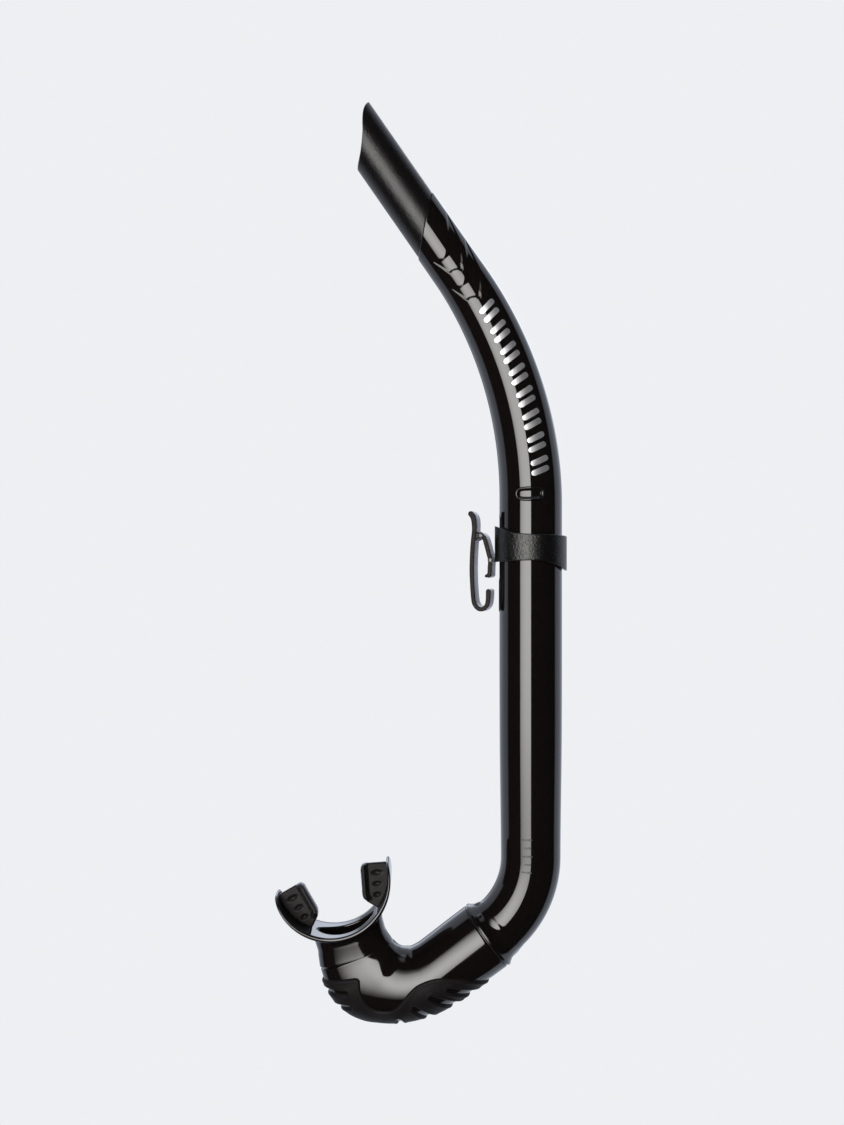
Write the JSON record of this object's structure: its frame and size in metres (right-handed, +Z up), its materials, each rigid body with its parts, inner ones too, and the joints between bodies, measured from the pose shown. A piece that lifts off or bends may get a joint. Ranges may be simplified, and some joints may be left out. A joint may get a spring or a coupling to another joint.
{
  "type": "snorkel tube",
  "caption": "Curved snorkel tube with a slant-cut top, sliding strap keeper with a quick-release clip, and a swivelling soft elbow with a curved mouthpiece and bite tabs.",
  "frame": {"origin": "on the axis of the tube's straight part, at mid-height of the keeper band", "axes": "+Z up along the straight part of the tube; the tube bends in the XZ plane, with the mouthpiece and the slanted top on the -X side; +Y points away from the side that carries the oval stop lug"},
  "size_m": [0.1279, 0.0336, 0.4045],
  "materials": {
    "barrel": "high gloss black",
    "tip_tube": "satin black",
    "slide_pad": "matte black",
    "spigot_seal": "matte black",
    "coupling_sleeve": "gloss black",
    "elbow": "polished black silicone",
    "elbow_grip": "matte black",
    "mouthpiece": "polished black silicone",
    "bite_tab_left": "matte black silicone",
    "bite_tab_right": "matte black silicone",
    "keeper_band": "fine-grained matte black",
    "keeper_liner": "matte black",
    "clip_arm": "satin black",
    "clip_lever": "satin black",
    "lever_pin": "satin black",
    "arm_pin": "satin black"
  },
  "bodies": {
    "tube": {"barrel": "barrel", "tip_tube": "tip_tube", "slide_pad": "slide_pad", "spigot_seal": "spigot_seal"},
    "keeper": {"keeper_band": "keeper_band", "keeper_liner": "keeper_liner", "arm_pin": "arm_pin"},
    "arm": {"clip_arm": "clip_arm", "lever_pin": "lever_pin"},
    "lever": {"clip_lever": "clip_lever"},
    "elbow": {"coupling_sleeve": "coupling_sleeve", "elbow": "elbow", "elbow_grip": "elbow_grip", "mouthpiece": "mouthpiece", "bite_tab_left": "bite_tab_left", "bite_tab_right": "bite_tab_right"}
  },
  "joints": [
    {"name": "keeper_slide", "type": "slide", "parent": "tube", "child": "keeper", "axis": [0, 0, 1], "range_m": [-0.006, 0.013]},
    {"name": "clip_tilt", "type": "hinge", "parent": "keeper", "child": "arm", "pos_m": [-0.01668, 0.00354, -0.0057], "axis": [0.2079, 0.9781, 0], "range_deg": [-10, 10]},
    {"name": "clip_open", "type": "hinge", "parent": "arm", "child": "lever", "pos_m": [-0.02088, 0.00444, 0.0051], "axis": [0.2079, 0.9781, 0], "range_deg": [0, 12]},
    {"name": "elbow_swivel", "type": "hinge", "parent": "tube", "child": "elbow", "pos_m": [-0.01894, 0, -0.17043], "axis": [-0.8039, 0, -0.5948], "range_deg": [-30, 30]}
  ]
}
